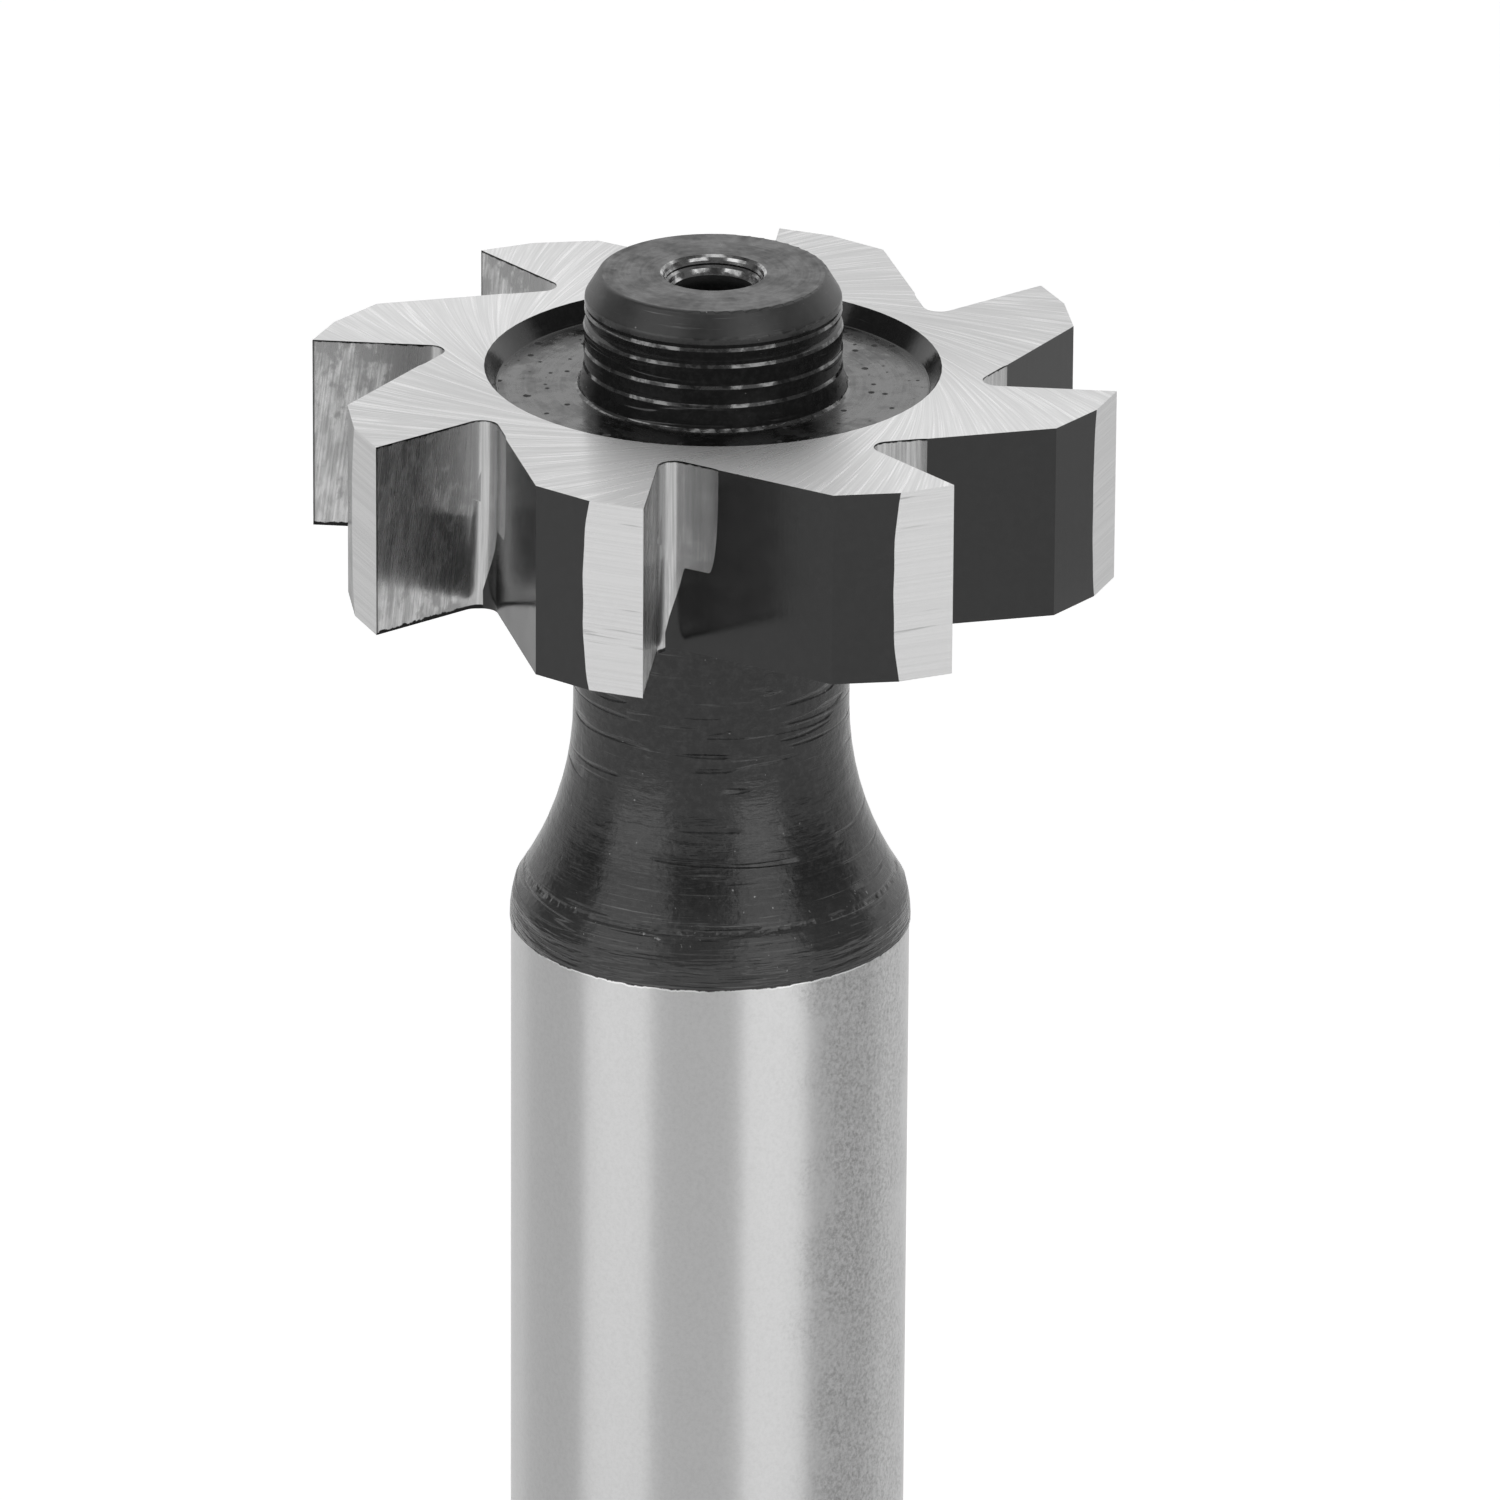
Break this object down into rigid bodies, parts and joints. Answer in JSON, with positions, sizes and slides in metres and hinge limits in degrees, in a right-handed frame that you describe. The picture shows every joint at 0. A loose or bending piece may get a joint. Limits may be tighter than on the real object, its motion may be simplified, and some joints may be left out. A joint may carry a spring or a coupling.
{
  "type": "t slot cutter",
  "caption": "Milling cutter for T-shaped slots: a straight-toothed disc head with a centred boss, a narrowed neck and a plain round shank, all in one piece.",
  "frame": {"origin": "centre of the shank's end face, on which the cutter stands", "axes": "+Z along the cutter's axis from the shank to the head; +X through the cutting edge of one tooth"},
  "size_m": [0.0242, 0.0242, 0.06],
  "materials": {
    "tool_steel": "ground bright on the shank, the head's faces, the tooth fronts and the lands; black from hardening on the neck, shoulder, recess, boss and tooth backs"
  },
  "bodies": {
    "root": {"cutter": "tool_steel"}
  },
  "joints": []
}
